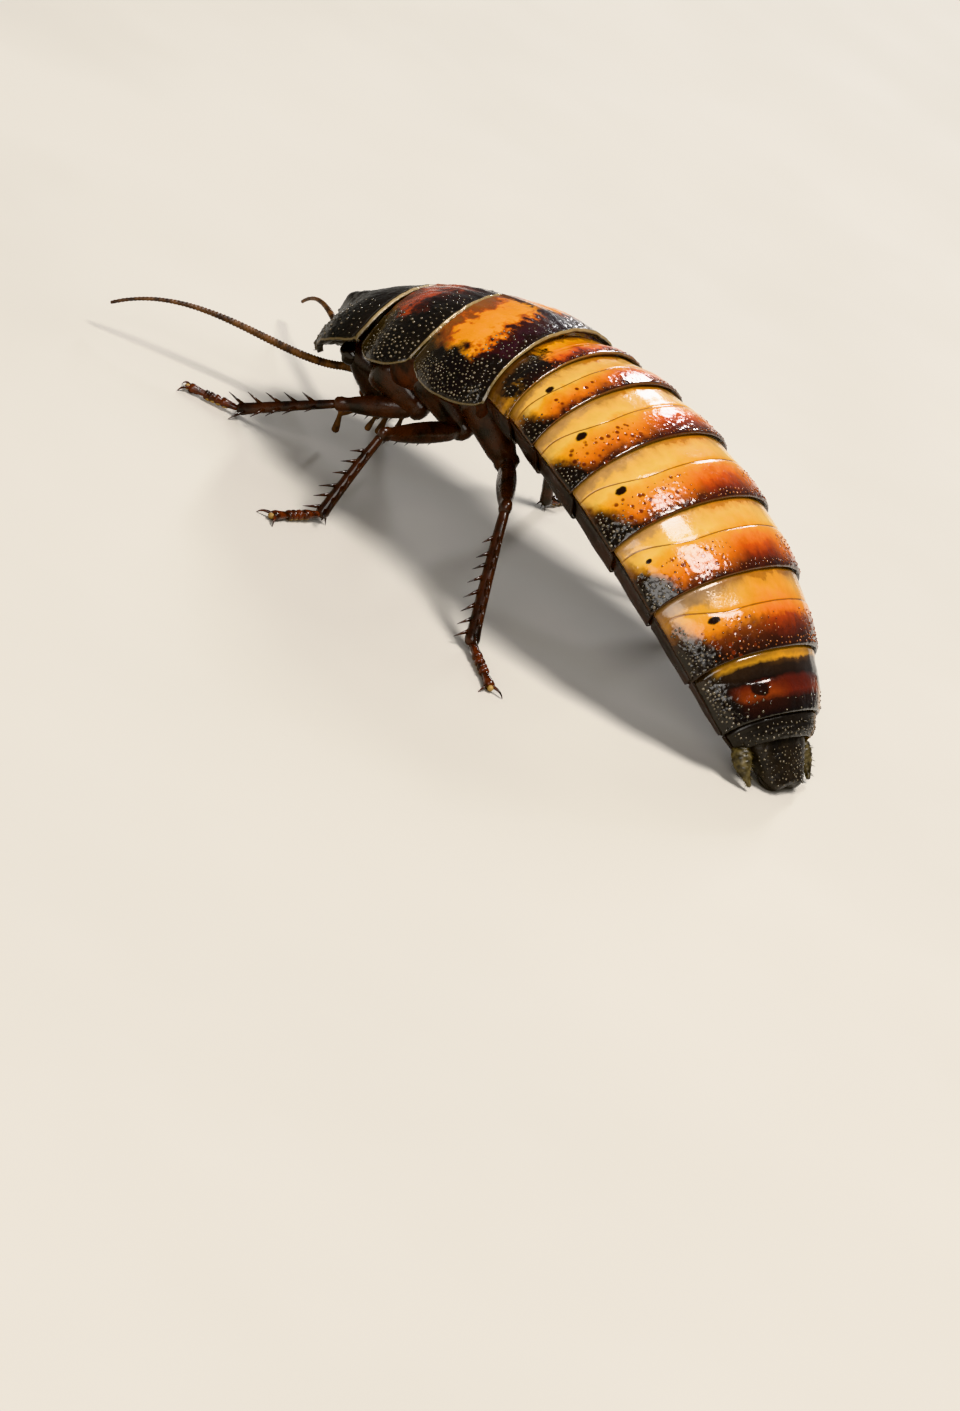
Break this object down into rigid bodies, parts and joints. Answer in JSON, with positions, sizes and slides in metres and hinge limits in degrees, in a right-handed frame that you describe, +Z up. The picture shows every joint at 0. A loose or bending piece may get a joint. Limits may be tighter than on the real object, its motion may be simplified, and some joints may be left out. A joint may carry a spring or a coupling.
{
  "type": "madagascar hissing cockroach model",
  "caption": "Life-size still model of a large wingless cockroach with an arched, banded, plated back, standing on six spiny legs.",
  "frame": {"origin": "on the floor, under the middle of the whole animal's box", "axes": "+X towards the head, +Y to the animal's left, +Z up"},
  "size_m": [0.082, 0.0514, 0.0244],
  "materials": {
    "black_shell": "glossy black chitin with small bumps",
    "amber_shell": "glossy amber and umber banded chitin",
    "umber_shell": "glossy dark umber chitin",
    "underside": "smooth reddish brown chitin",
    "leg": "glossy dark brown chitin",
    "feeler": "satin pale brown chitin",
    "membrane": "soft pale skin between plates",
    "eye": "glossy black"
  },
  "bodies": {
    "root": {"abdomen_segment_1": "amber_shell", "abdomen_segment_2": "amber_shell", "abdomen_segment_3": "amber_shell", "abdomen_segment_4": "amber_shell", "abdomen_segment_5": "amber_shell", "abdomen_segment_6": "amber_shell", "abdomen_segment_7": "black_shell", "abdomen_segment_8": "black_shell", "antenna_left": "feeler", "antenna_right": "feeler", "cercus_left": "feeler", "cercus_right": "feeler", "eye_left": "eye", "eye_right": "eye", "front_coxa_left": "leg", "front_coxa_right": "leg", "front_femur_left": "leg", "front_femur_right": "leg", "front_tarsus_left": "leg", "front_tarsus_right": "leg", "front_tibia_left": "leg", "front_tibia_right": "leg", "head": "umber_shell", "hind_coxa_left": "leg", "hind_coxa_right": "leg", "hind_femur_left": "leg", "hind_femur_right": "leg", "hind_tarsus_left": "leg", "hind_tarsus_right": "leg", "hind_tibia_left": "leg", "hind_tibia_right": "leg", "labial_palp_left": "feeler", "labial_palp_right": "feeler", "maxillary_palp_left": "feeler", "maxillary_palp_right": "feeler", "mesonotum": "umber_shell", "metanotum": "umber_shell", "middle_coxa_left": "leg", "middle_coxa_right": "leg", "middle_femur_left": "leg", "middle_femur_right": "leg", "middle_tarsus_left": "leg", "middle_tarsus_right": "leg", "middle_tibia_left": "leg", "middle_tibia_right": "leg", "neck": "membrane", "pronotum": "black_shell", "supra_anal_plate": "black_shell", "thorax_underside": "underside"}
  },
  "joints": []
}
